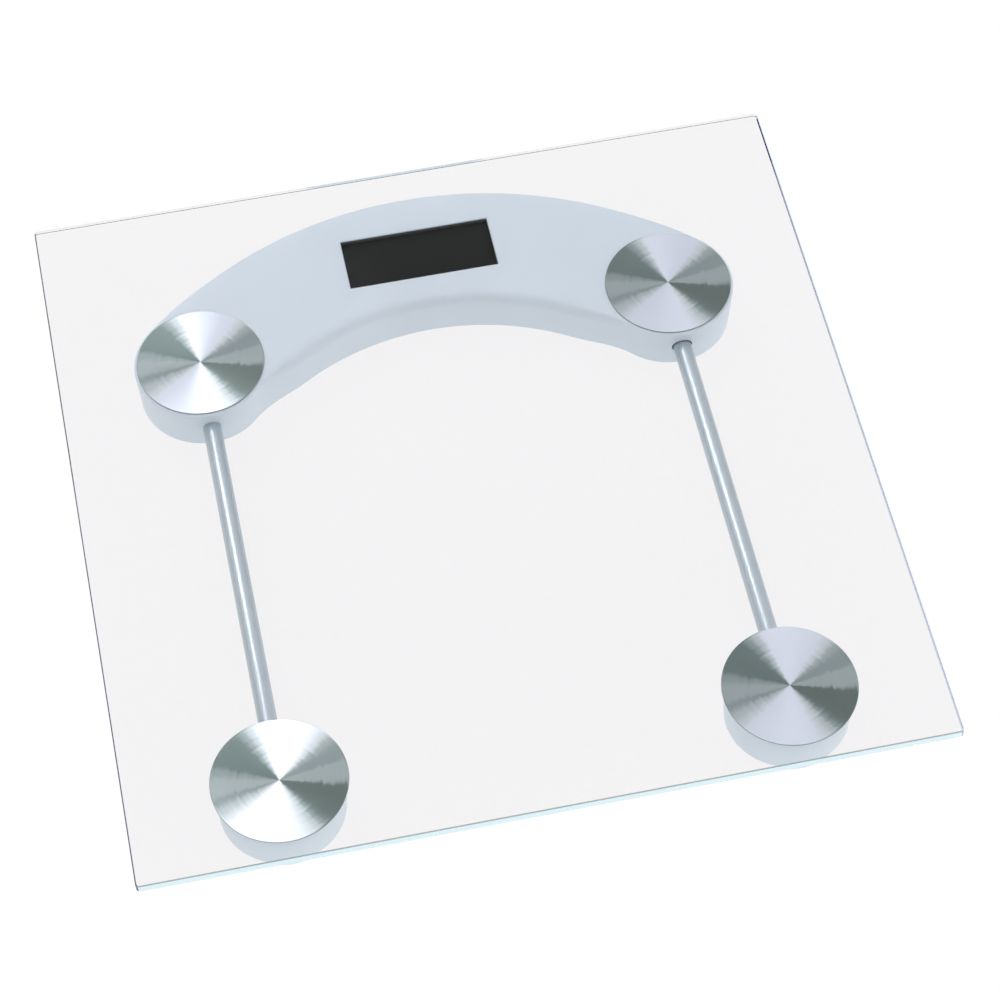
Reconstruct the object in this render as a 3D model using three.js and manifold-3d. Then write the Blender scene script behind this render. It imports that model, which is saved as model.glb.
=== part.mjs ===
// A glass-topped bathroom scale: a square glass platform on four pads, the two rear pads joined by a
// crescent housing with the display, the two front pads tied to it by steel tubes that carry the wires.
// Millimetres. +X is the user's right, +Y points to the display side, +Z is up, the floor is z = 0.
import * as THREE from 'three';
import { mergeVertices } from 'three/addons/utils/BufferGeometryUtils.js';
import Module from 'manifold-3d';

// ---- platform and discs
const PLATFORM_SIDE = 300;
const PLATFORM_TOP = 25;
const GLASS_THICKNESS = 4;
const GLASS_CORNER = 1.5;
const GLASS_ARRIS = 0.4;
const DISC_RADIUS = 25;
const DISC_THICKNESS = 0.6;

// ---- where the four pads stand
const PAD_X = 94;
const FRONT_PAD_Y = -117;
const REAR_PAD_Y = 73;

// ---- crescent housing: a band bent round an arc centre. Past its round ends it swells on the inner
// side and draws in on the outer side, and its inner top edge is rounded
const ARC_CENTRE_Y = -17.8;
const ARC_RADIUS = Math.hypot(PAD_X, REAR_PAD_Y - ARC_CENTRE_Y);
const ARC_END = Math.atan2(REAR_PAD_Y - ARC_CENTRE_Y, PAD_X);
const BAND_HALF = 26;
const BAND_DRAFT = 0.9;
const INNER_SWELL = 3.4;
const OUTER_SWELL = -1.3;
const SWELL_RUN = 0.25;
const INNER_ROUNDING = 5;
const WALL = 2;
const FIT_GAP = 0.3;

// ---- heights
const GLASS_BOTTOM = PLATFORM_TOP - GLASS_THICKNESS;
const HOUSING_TOP = GLASS_BOTTOM - DISC_THICKNESS;
const CEILING = HOUSING_TOP - WALL;
const HOUSING_BOTTOM = 3;
const SKIRT_BOTTOM = 1;
const BASE_TOP = 5;
const BOSS_SPLIT = 8;

// ---- front cups
const CUP_TOP_RADIUS = 23.9;
const CUP_LOW_RADIUS = 23.2;

// ---- feet and load cells
const PAD_HEIGHT = 2;
const PAD_RADIUS = 12.8;
const FOOT_RADIUS = 13.2;
const FOOT_HOLE_RADIUS = 13.6;
const FLANGE_RADIUS = 14.3;
const FLANGE_BOTTOM = 5.3;
const FLANGE_TOP = 6.3;
const POST_RADIUS = 4;
const POST_TOP = 8.2;
const CELL_SIDE = 28;
const CELL_CHAMFER = 5;
const CELL_BOTTOM = 8.8;
const CELL_THICKNESS = 1.5;

// ---- steel tubes and wires
const TUBE_RADIUS = 3.6;
const TUBE_BORE = 2.8;
const TUBE_REAR_GAP = 0.5;
const TUBE_HEIGHT = 12;
const TUBE_FRONT_Y = -97;
const TUBE_REAR_Y = 52;
const WIRE_RADIUS = 0.8;

// ---- display, circuit board and what is on it
const DISPLAY_Y = 109;
const WINDOW_WIDTH = 60;
const WINDOW_DEPTH = 24;
const PANEL_WIDTH = 66;
const PANEL_DEPTH = 30;
const PANEL_THICKNESS = 2;
const BOARD_BOTTOM = 10;
const BOARD_THICKNESS = 1.6;
const BOARD_WIDTH = 84;
const BOARD_DEPTH = 37;
const BOARD_Y = 108.5;
const BOARD_POST = { x: 39, y: 93.5, radius: 2.6 };

// ---- battery compartment and its door
const CELL_X = -18;
const CELL_Y = 108;
const COIN_RADIUS = 10;
const COIN_HEIGHT = 3.2;
const COIN_BOTTOM = 5.3;
const BAY = { left: -30, right: -6, front: 93, rear: 122 };
const DOOR_THICKNESS = 1.6;

// ---- unit button
const BUTTON_X = 20;
const BUTTON_Y = 108;
const BUTTON_RADIUS = 4;

// ---- housing screws
const SCREW_HEAD = { radius: 2.4, height: 1.7 };
const SCREW_SHANK_RADIUS = 1.4;
const SCREW_BOSS_RADIUS = 3.2;
const SCREW_SEAT = 5.6;
const SCREW_END = 14;
const PAD_SCREW_OFFSET = 17.8;

const wasm = await Module();
wasm.setup();

// ---------------------------------------------------------------- solids and booleans

function toSolid(geometry) {
  const bare = geometry.clone();
  bare.deleteAttribute('normal');
  bare.deleteAttribute('uv');
  const merged = mergeVertices(bare, 1e-4);
  const corners = merged.index.array;
  const kept = [];
  for (let i = 0; i < corners.length; i += 3) {
    const [a, b, c] = [corners[i], corners[i + 1], corners[i + 2]];
    if (a !== b && b !== c && c !== a) kept.push(a, b, c);
  }
  const vertProperties = new Float32Array(merged.attributes.position.array);
  const triVerts = new Uint32Array(kept);
  return new wasm.Manifold(new wasm.Mesh({ numProp: 3, vertProperties, triVerts }));
}

function toGeometry(solid) {
  const mesh = solid.getMesh();
  const geometry = new THREE.BufferGeometry();
  geometry.setAttribute('position', new THREE.BufferAttribute(mesh.vertProperties, 3));
  geometry.setIndex(new THREE.BufferAttribute(mesh.triVerts, 1));
  geometry.computeVertexNormals();
  return geometry;
}

function joined(solids) {
  return solids.reduce((sum, solid) => sum.add(solid));
}

function cutBy(body, tools) {
  return tools.reduce((left, tool) => left.subtract(tool), body);
}

// ---------------------------------------------------------------- basic shapes

function box(width, depth, x, y, bottom, top) {
  const geometry = new THREE.BoxGeometry(width, depth, top - bottom);
  geometry.translate(x, y, (top + bottom) / 2);
  return toSolid(geometry);
}

function rod(radius, x, y, bottom, top, segments = 24) {
  const geometry = new THREE.CylinderGeometry(radius, radius, top - bottom, segments);
  geometry.rotateX(Math.PI / 2);
  geometry.translate(x, y, (top + bottom) / 2);
  return toSolid(geometry);
}

function rodAlongY(radius, x, height, front, rear, segments = 24) {
  const geometry = new THREE.CylinderGeometry(radius, radius, rear - front, segments);
  geometry.translate(0, (front + rear) / 2, 0);
  geometry.translate(x, 0, height);
  return toSolid(geometry);
}

// profile: [radius, height] pairs from the axis at the bottom to the axis at the top
function turned(profile, x, y, segments = 36) {
  const points = profile.map(([radius, height]) => new THREE.Vector2(radius, height));
  const geometry = new THREE.LatheGeometry(points, segments);
  geometry.rotateX(Math.PI / 2);
  geometry.translate(x, y, 0);
  return toSolid(geometry);
}

function plate(shape, bottom, top) {
  const geometry = new THREE.ExtrudeGeometry(shape, { depth: top - bottom, bevelEnabled: false });
  geometry.translate(0, 0, bottom);
  return toSolid(geometry);
}

function polygon(pairs) {
  return new THREE.Shape(pairs.map(([x, y]) => new THREE.Vector2(x, y)));
}

// a bent metal strip: its side view in X and Z, and its width along Y
function strip(sideView, y, width) {
  const geometry = new THREE.ExtrudeGeometry(polygon(sideView), { depth: width, bevelEnabled: false });
  geometry.rotateX(Math.PI / 2);
  geometry.translate(0, y + width / 2, 0);
  return toSolid(geometry);
}

// ---------------------------------------------------------------- the crescent band

function bandPoint(angle, radius) {
  return [radius * Math.cos(angle), ARC_CENTRE_Y + radius * Math.sin(angle)];
}

// the outline of the band: outer arc, left end, inner arc, right end
function bandOutline(half) {
  const arcSteps = 30;
  const endSteps = 12;
  const sweep = Math.PI - 2 * ARC_END;
  const points = [];
  for (let i = 0; i <= arcSteps; i += 1) {
    points.push(bandPoint(ARC_END + (sweep * i) / arcSteps, ARC_RADIUS + half));
  }
  for (let i = 1; i < endSteps; i += 1) {
    const turn = Math.PI - ARC_END + (Math.PI * i) / endSteps;
    points.push([-PAD_X + half * Math.cos(turn), REAR_PAD_Y + half * Math.sin(turn)]);
  }
  for (let i = 0; i <= arcSteps; i += 1) {
    points.push(bandPoint(Math.PI - ARC_END - (sweep * i) / arcSteps, ARC_RADIUS - half));
  }
  for (let i = 1; i < endSteps; i += 1) {
    const turn = ARC_END + Math.PI + (Math.PI * i) / endSteps;
    points.push([PAD_X + half * Math.cos(turn), REAR_PAD_Y + half * Math.sin(turn)]);
  }
  return polygon(points);
}

// how much of the swell and of the inner rounding a place on the band gets: none at its ends, then all
function swellShare(angle) {
  const fromEnd = Math.min(angle, Math.PI - angle) - ARC_END;
  return THREE.MathUtils.smoothstep(fromEnd, 0, SWELL_RUN);
}

// how far the inner top edge is set back at a height
function innerSetback(height, top) {
  const rise = Math.max(0, height - (top - INNER_ROUNDING));
  return INNER_ROUNDING - Math.sqrt(INNER_ROUNDING ** 2 - rise ** 2);
}

// a solid that follows the band; profile: [half width, height, inner setback] from the bottom up
function band(profile) {
  const levels = profile.length - 1;
  const geometry = new THREE.ExtrudeGeometry(bandOutline(BAND_HALF), {
    depth: levels,
    steps: levels,
    bevelEnabled: false,
  });
  const position = geometry.attributes.position;
  for (let i = 0; i < position.count; i += 1) {
    const x = position.getX(i);
    const y = position.getY(i) - ARC_CENTRE_Y;
    const angle = Math.min(Math.max(Math.atan2(y, x), ARC_END), Math.PI - ARC_END);
    const middle = new THREE.Vector2(ARC_RADIUS * Math.cos(angle), ARC_RADIUS * Math.sin(angle));
    const across = new THREE.Vector2(x, y).sub(middle).normalize();
    const [half, height, setback = 0] = profile[Math.round(position.getZ(i))];
    const swell = Math.hypot(x, y) < ARC_RADIUS ? INNER_SWELL - setback : OUTER_SWELL;
    const reach = half + swellShare(angle) * swell;
    position.setXYZ(i, middle.x + reach * across.x, ARC_CENTRE_Y + middle.y + reach * across.y, height);
  }
  return toSolid(geometry);
}

// ---------------------------------------------------------------- places that repeat

const CORNERS = [
  { name: 'front_left', x: -PAD_X, y: FRONT_PAD_Y, front: true },
  { name: 'front_right', x: PAD_X, y: FRONT_PAD_Y, front: true },
  { name: 'rear_left', x: -PAD_X, y: REAR_PAD_Y, front: false },
  { name: 'rear_right', x: PAD_X, y: REAR_PAD_Y, front: false },
];
const SIDES = [
  { name: 'left', sign: -1 },
  { name: 'right', sign: 1 },
];
const FRONT_CORNERS = CORNERS.filter((corner) => corner.front);
const REAR_CORNERS = CORNERS.filter((corner) => !corner.front);

function bandPlace(degrees, radius) {
  const [x, y] = bandPoint((degrees * Math.PI) / 180, radius);
  return { x, y };
}

const HOUSING_SCREWS = [
  { name: 'end_left', x: -PAD_X - PAD_SCREW_OFFSET, y: REAR_PAD_Y },
  { name: 'end_right', x: PAD_X + PAD_SCREW_OFFSET, y: REAR_PAD_Y },
  { name: 'arm_left', ...bandPlace(118, ARC_RADIUS) },
  { name: 'arm_right', ...bandPlace(62, ARC_RADIUS) },
  { name: 'crest', ...bandPlace(90, ARC_RADIUS + 18.1) },
];

// ---------------------------------------------------------------- platform

function glassPlatform() {
  const half = PLATFORM_SIDE / 2;
  const straight = half - GLASS_CORNER;
  const shape = new THREE.Shape();
  shape.moveTo(-straight, -half);
  shape.absarc(straight, -straight, GLASS_CORNER, -Math.PI / 2, 0);
  shape.absarc(straight, straight, GLASS_CORNER, 0, Math.PI / 2);
  shape.absarc(-straight, straight, GLASS_CORNER, Math.PI / 2, Math.PI);
  shape.absarc(-straight, -straight, GLASS_CORNER, Math.PI, 1.5 * Math.PI);
  const geometry = new THREE.ExtrudeGeometry(shape, {
    depth: GLASS_THICKNESS - 2 * GLASS_ARRIS,
    bevelThickness: GLASS_ARRIS,
    bevelSize: GLASS_ARRIS,
    bevelOffset: -GLASS_ARRIS,
    bevelSegments: 1,
    curveSegments: 3,
  });
  geometry.translate(0, 0, GLASS_BOTTOM + GLASS_ARRIS);
  return toSolid(geometry);
}

function spunDisc(corner) {
  return rod(DISC_RADIUS, corner.x, corner.y, HOUSING_TOP, GLASS_BOTTOM, 48);
}

// ---------------------------------------------------------------- housings

// two ribs that press on the load cell's outer frame from above
function cellRibs(corner) {
  const reach = CELL_SIDE / 2 - 2;
  return [-reach, reach].map((side) =>
    box(4, 20, corner.x + side, corner.y, CELL_BOTTOM + CELL_THICKNESS, CEILING + 0.5));
}

function screwBoss(place) {
  const boss = rod(SCREW_BOSS_RADIUS, place.x, place.y, BOSS_SPLIT, CEILING + 0.5, 16);
  return boss.subtract(rod(1.6, place.x, place.y, BOSS_SPLIT - 1, SCREW_END + 1, 12));
}

function displayHousing() {
  const low = BAND_HALF - BAND_DRAFT;
  const outer = band([
    [low - 0.6, SKIRT_BOTTOM],
    [low, SKIRT_BOTTOM + 0.6],
    ...[5, 3, 1.6, 0.6, 0.2, 0].map((drop) => {
      const height = HOUSING_TOP - drop;
      const edge = Math.max(0.1, 0.8 - 2.5 * drop, (BAND_DRAFT * (drop - 0.6)) / 15);
      return [BAND_HALF - edge, height, innerSetback(height, HOUSING_TOP)];
    }),
  ]);
  const hollow = band([
    [low - WALL, SKIRT_BOTTOM - 1],
    [low - WALL, HOUSING_BOTTOM + 2],
    [BAND_HALF - WALL - 0.2, CEILING - INNER_ROUNDING + WALL],
    [BAND_HALF - WALL, CEILING, INNER_ROUNDING - WALL],
  ]);
  const window = box(WINDOW_WIDTH, WINDOW_DEPTH, 0, DISPLAY_Y, CEILING - 1, HOUSING_TOP + 1);
  const tubeHoles = REAR_CORNERS.map((corner) =>
    rodAlongY(TUBE_RADIUS + TUBE_REAR_GAP, corner.x, TUBE_HEIGHT, REAR_PAD_Y - BAND_HALF - 1, TUBE_REAR_Y));
  const boardPosts = SIDES.map((side) => {
    const x = side.sign * BOARD_POST.x;
    const post = rod(BOARD_POST.radius, x, BOARD_POST.y, BOARD_BOTTOM + BOARD_THICKNESS, CEILING + 0.5, 16);
    return post.subtract(rod(1.15, x, BOARD_POST.y, BOARD_BOTTOM, BOARD_BOTTOM + 7, 12));
  });
  const shell = cutBy(outer, [hollow, window, ...tubeHoles]);
  return joined([
    shell,
    ...REAR_CORNERS.flatMap(cellRibs),
    ...HOUSING_SCREWS.map(screwBoss),
    ...boardPosts,
  ]);
}

// a seat for a screw head: a post inside the cover, and the stepped hole through it
function seatPost(place) {
  return rod(SCREW_BOSS_RADIUS, place.x, place.y, BASE_TOP - 0.5, BOSS_SPLIT, 16);
}

function seatHoles(place) {
  return [
    rod(SCREW_HEAD.radius + 0.2, place.x, place.y, HOUSING_BOTTOM - 1, SCREW_SEAT, 16),
    rod(SCREW_SHANK_RADIUS + 0.2, place.x, place.y, HOUSING_BOTTOM - 1, BOSS_SPLIT + 1, 12),
  ];
}

function footHole(corner) {
  return rod(FOOT_HOLE_RADIUS, corner.x, corner.y, HOUSING_BOTTOM - 1, BASE_TOP + 1, 32);
}

function displayBase() {
  const half = BAND_HALF - BAND_DRAFT - WALL - FIT_GAP;
  const cover = band([
    [half, HOUSING_BOTTOM],
    [half, BASE_TOP],
  ]);
  const bay = box(
    BAY.right - BAY.left,
    BAY.rear - BAY.front,
    (BAY.left + BAY.right) / 2,
    (BAY.front + BAY.rear) / 2,
    HOUSING_BOTTOM - 1,
    BASE_TOP + 1,
  );
  const fingerDip = rod(6, (BAY.left + BAY.right) / 2, BAY.rear, HOUSING_BOTTOM - 1, HOUSING_BOTTOM + 1);
  const buttonHole = rod(BUTTON_RADIUS + FIT_GAP, BUTTON_X, BUTTON_Y, HOUSING_BOTTOM - 1, BASE_TOP + 1);
  const buttonDip = rod(7, BUTTON_X, BUTTON_Y, HOUSING_BOTTOM - 1, HOUSING_BOTTOM + 0.6);
  return cutBy(joined([cover, ...HOUSING_SCREWS.map(seatPost)]), [
    ...REAR_CORNERS.map(footHole),
    ...HOUSING_SCREWS.flatMap(seatHoles),
    bay,
    fingerDip,
    buttonHole,
    buttonDip,
  ]);
}

function cupScrews(corner) {
  return SIDES.map((side) => ({
    name: `cup_${corner.name}_${side.name}`,
    x: corner.x + side.sign * PAD_SCREW_OFFSET,
    y: corner.y,
  }));
}

function frontCup(corner) {
  const outer = turned([
    [0, SKIRT_BOTTOM],
    [CUP_LOW_RADIUS - 0.5, SKIRT_BOTTOM],
    [CUP_LOW_RADIUS, SKIRT_BOTTOM + 0.6],
    [CUP_TOP_RADIUS, HOUSING_TOP - 0.5],
    [CUP_TOP_RADIUS - 0.4, HOUSING_TOP],
    [0, HOUSING_TOP],
  ], corner.x, corner.y, 40);
  const inside = CUP_LOW_RADIUS - WALL;
  const hollow = rod(inside, corner.x, corner.y, SKIRT_BOTTOM - 1, CEILING, 40);
  const tubeHole = rodAlongY(TUBE_RADIUS + FIT_GAP, corner.x, TUBE_HEIGHT, TUBE_FRONT_Y, FRONT_PAD_Y + 26);
  return joined([
    cutBy(outer, [hollow, tubeHole]),
    ...cellRibs(corner),
    ...cupScrews(corner).map(screwBoss),
  ]);
}

function cupBase(corner) {
  const cover = rod(CUP_LOW_RADIUS - WALL - FIT_GAP, corner.x, corner.y, HOUSING_BOTTOM, BASE_TOP, 40);
  const screws = cupScrews(corner);
  return cutBy(joined([cover, ...screws.map(seatPost)]), [footHole(corner), ...screws.flatMap(seatHoles)]);
}

// a pan-head screw with a cross recess, driven upwards
function screw(place, head, shankRadius, seat, end) {
  const low = seat - head.height;
  const body = turned([
    [0, low],
    [head.radius - 0.4, low],
    [head.radius, seat],
    [shankRadius, seat],
    [shankRadius, end - 1],
    [0, end],
  ], place.x, place.y, 12);
  const slot = head.radius * 1.1;
  return cutBy(body, [
    box(slot, 0.5, place.x, place.y, low - 1, low + 0.8),
    box(0.5, slot, place.x, place.y, low - 1, low + 0.8),
  ]);
}

function housingScrew(place) {
  return screw(place, SCREW_HEAD, SCREW_SHANK_RADIUS, SCREW_SEAT, SCREW_END);
}

// ---------------------------------------------------------------- tubes, load cells and feet

function steelTube(x) {
  return rodAlongY(TUBE_RADIUS, x, TUBE_HEIGHT, TUBE_FRONT_Y, TUBE_REAR_Y, 24)
    .subtract(rodAlongY(TUBE_BORE, x, TUBE_HEIGHT, TUBE_FRONT_Y - 1, TUBE_REAR_Y + 1, 16));
}

// a stamped steel plate whose U-shaped slot leaves a tongue in the middle
function loadCell(corner) {
  const half = CELL_SIDE / 2;
  const cut = half - CELL_CHAMFER;
  const outline = polygon([
    [-cut, -half], [cut, -half], [half, -cut], [half, cut],
    [cut, half], [-cut, half], [-half, cut], [-half, -cut],
  ]);
  const slotOut = 8.8;
  const slotIn = 6.6;
  outline.holes.push(polygon([
    [-slotOut, slotOut], [-slotIn, slotOut], [-slotIn, -slotIn], [slotIn, -slotIn],
    [slotIn, slotOut], [slotOut, slotOut], [slotOut, -slotOut], [-slotOut, -slotOut],
  ]));
  return plate(outline, CELL_BOTTOM, CELL_BOTTOM + CELL_THICKNESS).translate([corner.x, corner.y, 0]);
}

function foot(corner) {
  return turned([
    [0, PAD_HEIGHT],
    [FOOT_RADIUS - 0.4, PAD_HEIGHT],
    [FOOT_RADIUS, PAD_HEIGHT + 0.4],
    [FOOT_RADIUS, FLANGE_BOTTOM],
    [FLANGE_RADIUS, FLANGE_BOTTOM],
    [FLANGE_RADIUS, FLANGE_TOP],
    [POST_RADIUS, FLANGE_TOP],
    [POST_RADIUS, POST_TOP],
    [0, POST_TOP],
  ], corner.x, corner.y, 28);
}

function footPad(corner) {
  return turned([
    [0, 0.5],
    [PAD_RADIUS - 5, 0.5],
    [PAD_RADIUS - 4.5, 0],
    [PAD_RADIUS - 0.6, 0],
    [PAD_RADIUS, 0.6],
    [PAD_RADIUS, PAD_HEIGHT],
    [0, PAD_HEIGHT],
  ], corner.x, corner.y, 28);
}

// ---------------------------------------------------------------- wires

function wire(points, steps) {
  const path = new THREE.CatmullRomCurve3(points.map(([x, y, z]) => new THREE.Vector3(x, y, z)));
  const section = new THREE.Shape();
  section.absarc(0, 0, WIRE_RADIUS, 0, 2 * Math.PI);
  return toSolid(new THREE.ExtrudeGeometry(section, { steps, extrudePath: path, curveSegments: 3 }));
}

function alongArm(sign, degrees, radius, height) {
  const { x, y } = bandPlace(degrees, radius);
  return [sign * x, y, height];
}

// from the front load cell through the steel tube, over the rear load cell and along the housing's arm
function frontWire(sign) {
  const x = sign * PAD_X;
  return wire([
    [x, FRONT_PAD_Y + 8, 11.6],
    [x, FRONT_PAD_Y + 14, 12],
    [x, TUBE_FRONT_Y + 8, TUBE_HEIGHT],
    [x, TUBE_REAR_Y - 40, TUBE_HEIGHT],
    [x, TUBE_REAR_Y - 3, TUBE_HEIGHT],
    [x, REAR_PAD_Y - 10, 14],
    [x, REAR_PAD_Y + 8, 14.5],
    alongArm(sign, 55, ARC_RADIUS + 11, 14),
    alongArm(sign, 64, ARC_RADIUS + 10, 14),
    [sign * 48, 112, 13.4],
    [sign * 39, 112, 12.8],
  ], 44);
}

// from the rear load cell along the housing's arm
function rearWire(sign) {
  return wire([
    [sign * (PAD_X - 3), REAR_PAD_Y + 4, 11.4],
    [sign * (PAD_X - 6), REAR_PAD_Y + 12, 12.4],
    alongArm(sign, 55, ARC_RADIUS + 6, 12.8),
    alongArm(sign, 64, ARC_RADIUS + 6, 13),
    [sign * 48, 105, 13],
    [sign * 39, 105, 12.8],
  ], 16);
}

// ---------------------------------------------------------------- display and circuit board

function lcdPanel() {
  return box(PANEL_WIDTH, PANEL_DEPTH, 0, DISPLAY_Y, CEILING - PANEL_THICKNESS, CEILING);
}

function lcdFrame() {
  const top = CEILING - PANEL_THICKNESS;
  const low = BOARD_BOTTOM + BOARD_THICKNESS;
  const body = box(PANEL_WIDTH + 4, PANEL_DEPTH + 4, 0, DISPLAY_Y, low, CEILING);
  const pocket = box(PANEL_WIDTH + 0.6, PANEL_DEPTH + 0.6, 0, DISPLAY_Y, top, CEILING + 1);
  const well = box(WINDOW_WIDTH, WINDOW_DEPTH, 0, DISPLAY_Y, low - 1, top + 1);
  return cutBy(body, [pocket, well]);
}

function contactStrip() {
  const front = DISPLAY_Y - WINDOW_DEPTH / 2;
  return box(56, 2.2, 0, front + 1.5, BOARD_BOTTOM + BOARD_THICKNESS, CEILING - PANEL_THICKNESS);
}

function circuitBoard() {
  const top = BOARD_BOTTOM + BOARD_THICKNESS;
  const board = box(BOARD_WIDTH, BOARD_DEPTH, 0, BOARD_Y, BOARD_BOTTOM, top);
  const holes = SIDES.map((side) =>
    rod(1.2, side.sign * BOARD_POST.x, BOARD_POST.y, BOARD_BOTTOM - 1, top + 1, 16));
  return cutBy(board, holes);
}

function boardScrew(sign) {
  const place = { x: sign * BOARD_POST.x, y: BOARD_POST.y };
  return screw(place, { radius: 1.9, height: 1.3 }, 0.95, BOARD_BOTTOM, BOARD_BOTTOM + 6);
}

function unitSwitch() {
  return joined([
    box(6, 6, BUTTON_X, BUTTON_Y, 7.2, BOARD_BOTTOM),
    rod(1.6, BUTTON_X, BUTTON_Y, 6.6, 7.4, 16),
  ]);
}

function unitButton() {
  return turned([
    [0, HOUSING_BOTTOM + 0.2],
    [BUTTON_RADIUS - 0.3, HOUSING_BOTTOM + 0.2],
    [BUTTON_RADIUS, HOUSING_BOTTOM + 0.5],
    [BUTTON_RADIUS, BASE_TOP + 0.2],
    [BUTTON_RADIUS + 1.2, BASE_TOP + 0.2],
    [BUTTON_RADIUS + 1.2, BASE_TOP + 1],
    [0, BASE_TOP + 1],
  ], BUTTON_X, BUTTON_Y, 24);
}

// ---------------------------------------------------------------- battery

function coinCell() {
  return turned([
    [0, COIN_BOTTOM],
    [COIN_RADIUS - 0.3, COIN_BOTTOM],
    [COIN_RADIUS, COIN_BOTTOM + 0.3],
    [COIN_RADIUS, COIN_BOTTOM + COIN_HEIGHT - 0.6],
    [COIN_RADIUS - 1.2, COIN_BOTTOM + COIN_HEIGHT],
    [0, COIN_BOTTOM + COIN_HEIGHT],
  ], CELL_X, CELL_Y, 28);
}

function batteryHolder() {
  const block = box(23.4, 23.4, CELL_X, CELL_Y, COIN_BOTTOM, BOARD_BOTTOM);
  const pocket = rod(COIN_RADIUS + 0.3, CELL_X, CELL_Y, COIN_BOTTOM - 1, BOARD_BOTTOM + 1, 28);
  const leftGap = box(4, 5, CELL_X - COIN_RADIUS - 1.6, CELL_Y, COIN_BOTTOM - 1, BOARD_BOTTOM + 1);
  return cutBy(block, [pocket, leftGap]);
}

// the leaf that presses on the top of the coin cell
function negativeContact() {
  const low = COIN_BOTTOM + COIN_HEIGHT;
  const near = CELL_X + 4;
  return strip([
    [CELL_X - 4, low], [near + 0.3, low], [near + 0.3, BOARD_BOTTOM - 0.3], [near + 4, BOARD_BOTTOM - 0.3],
    [near + 4, BOARD_BOTTOM], [near, BOARD_BOTTOM], [near, low + 0.3], [CELL_X - 4, low + 0.3],
  ], CELL_Y, 4);
}

// the blade that bears on the rim of the coin cell
function positiveContact() {
  const face = CELL_X - COIN_RADIUS - 0.1;
  return strip([
    [face - 0.3, COIN_BOTTOM + 0.2], [face, COIN_BOTTOM + 0.2], [face, BOARD_BOTTOM],
    [face - 3, BOARD_BOTTOM], [face - 3, BOARD_BOTTOM - 0.3], [face - 0.3, BOARD_BOTTOM - 0.3],
  ], CELL_Y, 4);
}

// a flush door with two hooks on its front edge and a latch on its rear edge
function batteryDoor() {
  const top = HOUSING_BOTTOM + DOOR_THICKNESS;
  const front = BAY.front + FIT_GAP;
  const rear = BAY.rear - FIT_GAP;
  const middle = (BAY.left + BAY.right) / 2;
  const width = BAY.right - BAY.left - 2 * FIT_GAP;
  const leaf = box(width, rear - front, middle, (front + rear) / 2, HOUSING_BOTTOM, top);
  const hooks = [-7, 7].flatMap((side) => [
    box(5, 0.8, middle + side, front + 0.4, top - 0.5, BASE_TOP + 1.2),
    box(5, 3, middle + side, front - 0.7, BASE_TOP + 0.2, BASE_TOP + 1.2),
  ]);
  const latch = box(8, 1, middle, rear - 0.5, top - 0.5, BASE_TOP + 1.2);
  return joined([leaf, ...hooks, latch]);
}

// ---------------------------------------------------------------- finishes and assembly

const FINISH = {
  glass: { color: '#e6f1f0', roughness: 0.05, metalness: 0 },
  silver_plastic: { color: '#c9d3de', roughness: 0.4, metalness: 0.1 },
  spun_steel: { color: '#c4cac8', roughness: 0.3, metalness: 0.9 },
  chrome: { color: '#c8ccd0', roughness: 0.1, metalness: 1 },
  display_dark: { color: '#2b2d29', roughness: 0.15, metalness: 0 },
  grey_plastic: { color: '#8f979e', roughness: 0.6, metalness: 0 },
  black_rubber: { color: '#202122', roughness: 0.9, metalness: 0 },
  board_green: { color: '#1f5a38', roughness: 0.5, metalness: 0 },
  steel: { color: '#a9adb0', roughness: 0.35, metalness: 1 },
  black_plastic: { color: '#1d1e20', roughness: 0.5, metalness: 0 },
  wire_jacket: { color: '#7d8288', roughness: 0.6, metalness: 0 },
};

const scale = new THREE.Group();
scale.name = 'bathroom_scale';

function place(name, finish, solid) {
  const material = new THREE.MeshStandardMaterial(FINISH[finish]);
  material.name = finish;
  const mesh = new THREE.Mesh(toGeometry(solid), material);
  mesh.name = name;
  scale.add(mesh);
}

place('glass_platform', 'glass', glassPlatform());
place('display_housing', 'silver_plastic', displayHousing());
place('display_base', 'grey_plastic', displayBase());
for (const corner of CORNERS) {
  place(`disc_${corner.name}`, 'spun_steel', spunDisc(corner));
  place(`load_cell_${corner.name}`, 'steel', loadCell(corner));
  place(`foot_${corner.name}`, 'grey_plastic', foot(corner));
  place(`foot_pad_${corner.name}`, 'black_rubber', footPad(corner));
}
for (const corner of FRONT_CORNERS) {
  place(`cup_${corner.name}`, 'silver_plastic', frontCup(corner));
  place(`cup_base_${corner.name}`, 'grey_plastic', cupBase(corner));
}
for (const spot of [...HOUSING_SCREWS, ...FRONT_CORNERS.flatMap(cupScrews)]) {
  place(`screw_${spot.name}`, 'steel', housingScrew(spot));
}
for (const side of SIDES) {
  place(`tube_${side.name}`, 'chrome', steelTube(side.sign * PAD_X));
  place(`wire_front_${side.name}`, 'wire_jacket', frontWire(side.sign));
  place(`wire_rear_${side.name}`, 'wire_jacket', rearWire(side.sign));
  place(`board_screw_${side.name}`, 'steel', boardScrew(side.sign));
}
place('lcd_panel', 'display_dark', lcdPanel());
place('lcd_frame', 'black_plastic', lcdFrame());
place('contact_strip', 'black_rubber', contactStrip());
place('circuit_board', 'board_green', circuitBoard());
place('unit_switch', 'black_plastic', unitSwitch());
place('unit_button', 'black_plastic', unitButton());
place('battery_holder', 'black_plastic', batteryHolder());
place('coin_cell', 'steel', coinCell());
place('contact_negative', 'steel', negativeContact());
place('contact_positive', 'steel', positiveContact());
place('battery_door', 'grey_plastic', batteryDoor());

export default scale;
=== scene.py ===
"""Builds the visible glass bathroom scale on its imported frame, with its studio."""
import logging
import math
from dataclasses import dataclass, field
from enum import Enum
from typing import Iterable, Sequence

import bmesh
import bpy
from mathutils import Matrix, Vector


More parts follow.
